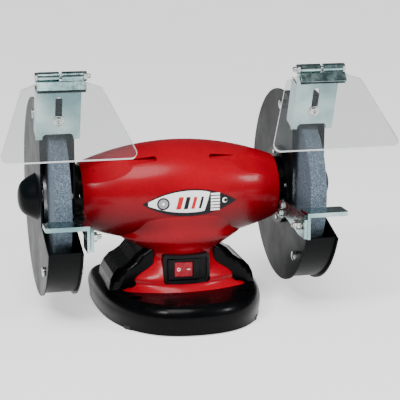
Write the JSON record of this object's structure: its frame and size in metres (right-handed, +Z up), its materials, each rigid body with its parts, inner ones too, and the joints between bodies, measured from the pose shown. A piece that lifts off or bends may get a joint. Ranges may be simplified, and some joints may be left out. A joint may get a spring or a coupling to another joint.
{
  "type": "bench grinder",
  "caption": "Bench grinder with a crowned red motor housing on a waisted column, a guarded wheel at each end, tool rests and tilting clear eye shields.",
  "frame": {"origin": "on the bench, in the middle of the four bench bolt holes, under the middle of the spindle", "axes": "+X to the right along the spindle, -Y towards the user, +Z up"},
  "size_m": [0.357, 0.2195, 0.2433],
  "materials": {
    "red_enamel": "glossy red enamel on a cast housing",
    "black_enamel": "glossy black enamel",
    "zinc_plate": "bright zinc-plated sheet",
    "zinc_fastener": "zinc-plated fasteners",
    "turned_steel": "turned steel",
    "bearing_steel": "ground and polished",
    "lamination_steel": "stacked laminations",
    "copper": "varnished copper wire",
    "cage_aluminium": "die-cast",
    "abrasive": "blue-grey vitrified abrasive, granular",
    "blotter_card": "matt card",
    "bush_plastic": "moulded",
    "clear_shield": "clear polycarbonate",
    "switch_black": "moulded black plastic",
    "rocker_red": "translucent red plastic",
    "foot_rubber": "moulded rubber",
    "label_film": "printed film on a thin plate"
  },
  "bodies": {
    "root": {"arm_bolts": "zinc_fastener", "base_screws": "zinc_fastener", "base_shell": "black_enamel", "bearing_outer_rings": "bearing_steel", "bell_screws": "zinc_fastener", "bottom_plate": "black_enamel", "bracket_screws": "zinc_fastener", "cable_gland": "switch_black", "capacitor": "cage_aluminium", "capacitor_clip": "cage_aluminium", "cover_bolts": "zinc_fastener", "end_bell_left": "black_enamel", "end_bell_right": "black_enamel", "gland_nut": "switch_black", "guard_band_left": "black_enamel", "guard_band_right": "black_enamel", "guard_cover_left": "black_enamel", "guard_cover_right": "black_enamel", "guard_inner_left": "black_enamel", "guard_inner_right": "black_enamel", "guard_screws": "zinc_fastener", "label_plate": "label_film", "m5_nuts": "zinc_fastener", "motor_housing": "red_enamel", "rest_arm_left": "zinc_plate", "rest_arm_right": "zinc_plate", "rubber_feet": "foot_rubber", "stator_core": "lamination_steel", "stator_windings": "copper", "switch_body": "switch_black", "switch_surround": "switch_black", "terminal_block": "bush_plastic"},
    "rotor": {"spindle": "turned_steel", "rotor_core": "lamination_steel", "rotor_cage": "cage_aluminium", "bearing_inner_rings": "bearing_steel", "bearing_balls": "bearing_steel", "inner_flanges": "turned_steel", "outer_flanges": "turned_steel", "blotters": "blotter_card", "wheel_left": "abrasive", "wheel_right": "abrasive", "wheel_bushes": "bush_plastic", "spindle_nuts": "zinc_fastener"},
    "rocker": {"switch_rocker": "rocker_red"},
    "bracket_left": {"spark_bracket_left": "zinc_plate", "hinge_bolt_left": "zinc_fastener"},
    "shield_left": {"eye_shield_left": "clear_shield", "shield_clamp_left": "zinc_plate"},
    "rest_slider_left": {"rest_clamp_left": "zinc_fastener"},
    "rest_left": {"tool_rest_left": "zinc_plate"},
    "bracket_right": {"spark_bracket_right": "zinc_plate", "hinge_bolt_right": "zinc_fastener"},
    "shield_right": {"eye_shield_right": "clear_shield", "shield_clamp_right": "zinc_plate"},
    "rest_slider_right": {"rest_clamp_right": "zinc_fastener"},
    "rest_right": {"tool_rest_right": "zinc_plate"}
  },
  "joints": [
    {"name": "rotor_spin", "type": "hinge", "parent": "root", "child": "rotor", "pos_m": [0, 0, 0.116], "axis": [1, 0, 0], "continuous": true},
    {"name": "rocker_tip", "type": "hinge", "parent": "root", "child": "rocker", "pos_m": [-0.003, -0.041, 0.0485], "axis": [0, 0, 1], "range_deg": [0, 9]},
    {"name": "bracket_slide_left", "type": "slide", "parent": "root", "child": "bracket_left", "axis": [0, 0.3355, -0.9421], "range_m": [0, 0.006]},
    {"name": "shield_tilt_left", "type": "hinge", "parent": "bracket_left", "child": "shield_left", "pos_m": [-0.12, -0.07293, 0.23873], "axis": [1, 0, 0], "range_deg": [-75, 15]},
    {"name": "rest_slide_left", "type": "slide", "parent": "root", "child": "rest_slider_left", "axis": [0, -1, 0], "range_m": [-0.002, 0.005]},
    {"name": "rest_tilt_left", "type": "hinge", "parent": "rest_slider_left", "child": "rest_left", "pos_m": [-0.1, -0.091, 0.097], "axis": [1, 0, 0], "range_deg": [-6, 6]},
    {"name": "bracket_slide_right", "type": "slide", "parent": "root", "child": "bracket_right", "axis": [0, 0.3355, -0.9421], "range_m": [0, 0.006]},
    {"name": "shield_tilt_right", "type": "hinge", "parent": "bracket_right", "child": "shield_right", "pos_m": [0.12, -0.07293, 0.23873], "axis": [1, 0, 0], "range_deg": [-75, 15]},
    {"name": "rest_slide_right", "type": "slide", "parent": "root", "child": "rest_slider_right", "axis": [0, -1, 0], "range_m": [-0.002, 0.005]},
    {"name": "rest_tilt_right", "type": "hinge", "parent": "rest_slider_right", "child": "rest_right", "pos_m": [0.1, -0.091, 0.097], "axis": [1, 0, 0], "range_deg": [-6, 6]}
  ]
}
